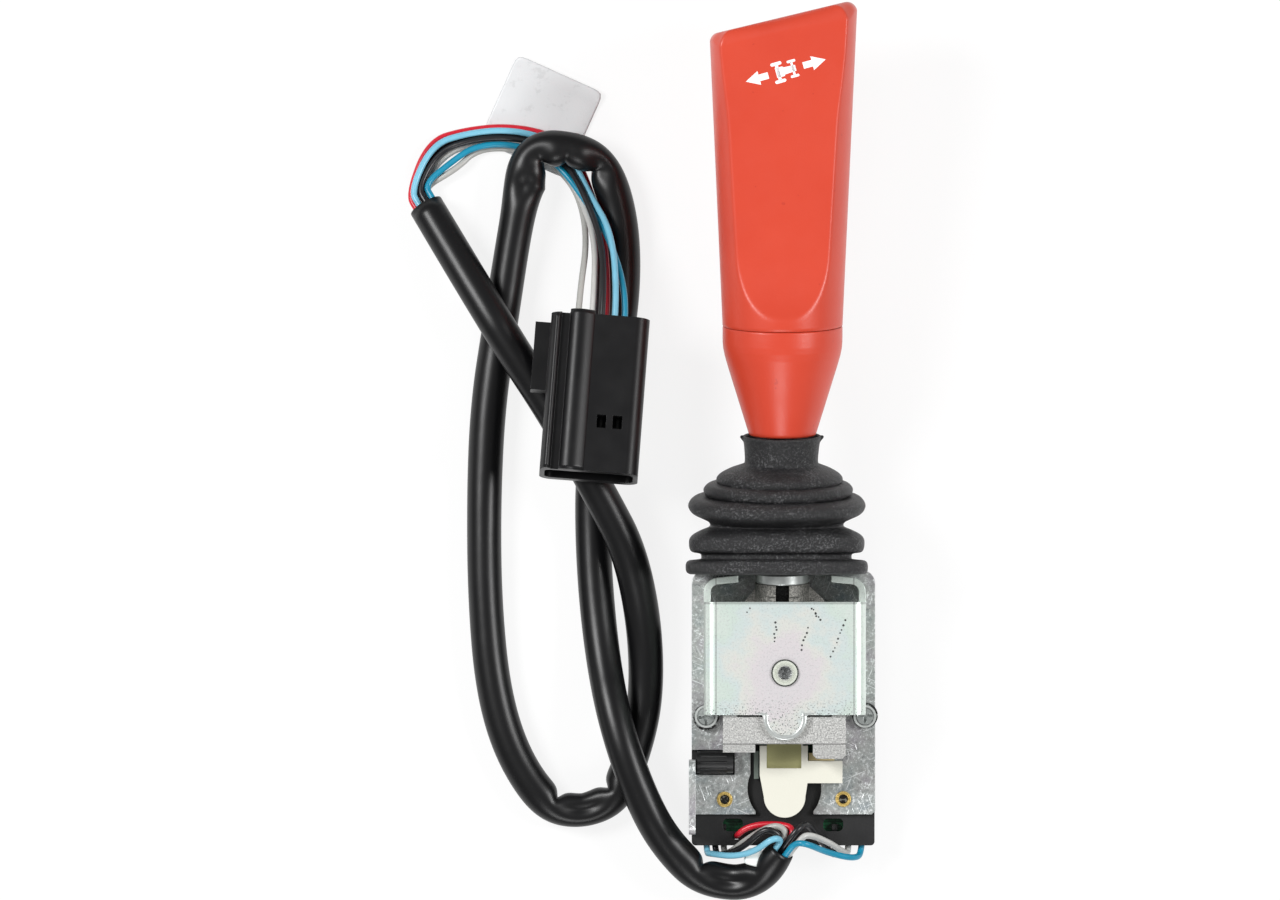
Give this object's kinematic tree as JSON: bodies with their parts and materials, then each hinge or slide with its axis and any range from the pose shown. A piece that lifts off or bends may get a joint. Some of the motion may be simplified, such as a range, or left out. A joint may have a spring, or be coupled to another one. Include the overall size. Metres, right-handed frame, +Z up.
{
  "type": "direction lever switch",
  "caption": "Lever switch with a red paddle knob, black bellows boot, plated sheet-metal mechanism, circuit board housing and a sleeved wire harness with a connector.",
  "frame": {"origin": "on the pivot bolt's axis, in the plane the switch lies on", "axes": "+Y towards the knob, +Z up from the table through the pivot bolt, +X to the viewer's right"},
  "size_m": [0.1419, 0.2694, 0.0617],
  "materials": {
    "knob_red": "moulded, slightly glossy",
    "boot_rubber": "moulded black rubber",
    "zinc_plated": "zinc plated",
    "cast_zinc": "blasted casting",
    "cast_dark": "dark casting",
    "dark_steel": "plain steel",
    "brass_part": "plain",
    "black_plastic": "moulded",
    "board_green": "solder mask",
    "white_plastic": "moulded",
    "olive_plastic": "moulded",
    "grey_green_plastic": "moulded",
    "tan_plastic": "moulded",
    "connector_black": "moulded, shiny",
    "sleeve_black": "soft tube",
    "tie_white": "moulded",
    "label_white": "plain film",
    "wire_light_blue": "insulation",
    "wire_blue": "insulation",
    "wire_black": "insulation",
    "wire_grey": "insulation",
    "wire_striped": "insulation with a dark stripe",
    "wire_red": "insulation"
  },
  "bodies": {
    "frame": {"back_plate": "zinc_plated", "board_wire_black_a": "wire_black", "board_wire_black_b": "wire_black", "board_wire_blue": "wire_blue", "board_wire_grey": "wire_grey", "board_wire_light_blue": "wire_light_blue", "board_wire_red": "wire_red", "board_wire_striped": "wire_striped", "boot": "boot_rubber", "cable_tie": "tie_white", "cast_body": "cast_zinc", "circuit_board": "board_green", "connector_insert": "connector_black", "connector_pins": "brass_part", "connector_shell": "connector_black", "connector_wire_black_a": "wire_black", "connector_wire_black_b": "wire_black", "connector_wire_blue": "wire_blue", "connector_wire_grey": "wire_grey", "connector_wire_light_blue": "wire_light_blue", "connector_wire_red": "wire_red", "connector_wire_striped": "wire_striped", "eyelet_rivets": "brass_part", "front_bracket": "zinc_plated", "guide_grey": "grey_green_plastic", "guide_tan": "tan_plastic", "harness_sleeve": "sleeve_black", "latch_roller": "black_plastic", "pan_screws": "zinc_plated", "pivot_bolt": "zinc_plated", "pivot_nut": "zinc_plated", "pivot_washer": "zinc_plated", "position_sensors": "black_plastic", "rear_cover": "black_plastic", "rear_housing": "black_plastic", "rear_screws": "zinc_plated", "solder_terminals": "zinc_plated", "wire_label": "label_white"},
    "carrier": {"lever_carrier": "cast_dark", "stem_cap": "zinc_plated", "pivot_bushes": "brass_part", "actuator": "white_plastic", "actuator_block": "olive_plastic", "sensor_magnet": "dark_steel", "lift_spring": "dark_steel", "detent_spring": "dark_steel"},
    "lever": {"lever_rod": "dark_steel", "lift_pin": "dark_steel", "rod_circlip": "dark_steel", "spring_seat": "zinc_plated", "knob_lower": "knob_red", "knob_insert": "brass_part", "knob_upper": "knob_red", "knob_screw": "dark_steel"},
    "plunger": {"detent_plunger": "dark_steel"}
  },
  "joints": [
    {"name": "lever_tilt", "type": "hinge", "parent": "frame", "child": "carrier", "pos_m": [0, 0, 0.0245], "axis": [0, 0, 1], "range_deg": [-10, 10], "deforming": ["boot"]},
    {"name": "lever_lift", "type": "slide", "parent": "carrier", "child": "lever", "axis": [0, 0.9925, 0.1219], "range_m": [-0.0016, 0.0006], "stiffness_N_per_m": 800, "springref_m": -0.0016},
    {"name": "detent_slide", "type": "slide", "parent": "carrier", "child": "plunger", "axis": [0, 0, -1], "range_m": [0, 0.0005], "stiffness_N_per_m": 600, "springref_m": 0.0005, "deforming": ["detent_spring"]}
  ]
}
